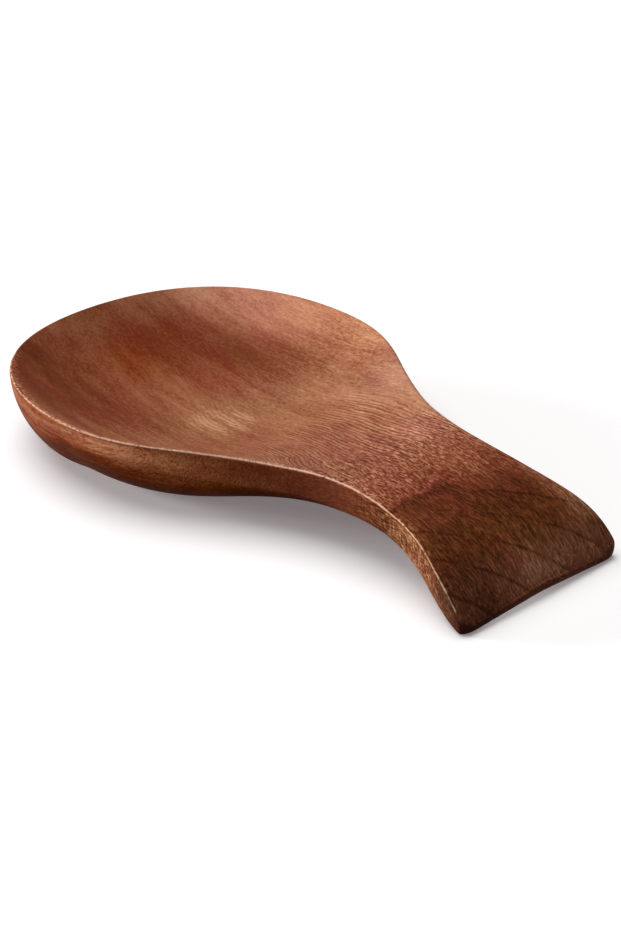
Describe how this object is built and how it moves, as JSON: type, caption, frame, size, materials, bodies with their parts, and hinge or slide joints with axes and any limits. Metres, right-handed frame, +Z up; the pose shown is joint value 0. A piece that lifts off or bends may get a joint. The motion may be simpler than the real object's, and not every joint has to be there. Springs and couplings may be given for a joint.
{
  "type": "wooden spoon rest",
  "caption": "Carved hardwood spoon rest: a round shallow dish that runs up through a waist into a flared handle arching down to the table.",
  "frame": {"origin": "centre of the bounding box on the table plane", "axes": "+X from the lip of the dish to the end of the handle, +Y across the dish, +Z up out of the dish"},
  "size_m": [0.24, 0.141, 0.0271],
  "materials": {
    "wood": "satin oiled reddish-brown hardwood, grain along the length"
  },
  "bodies": {
    "root": {"carved_body": "wood"}
  },
  "joints": []
}
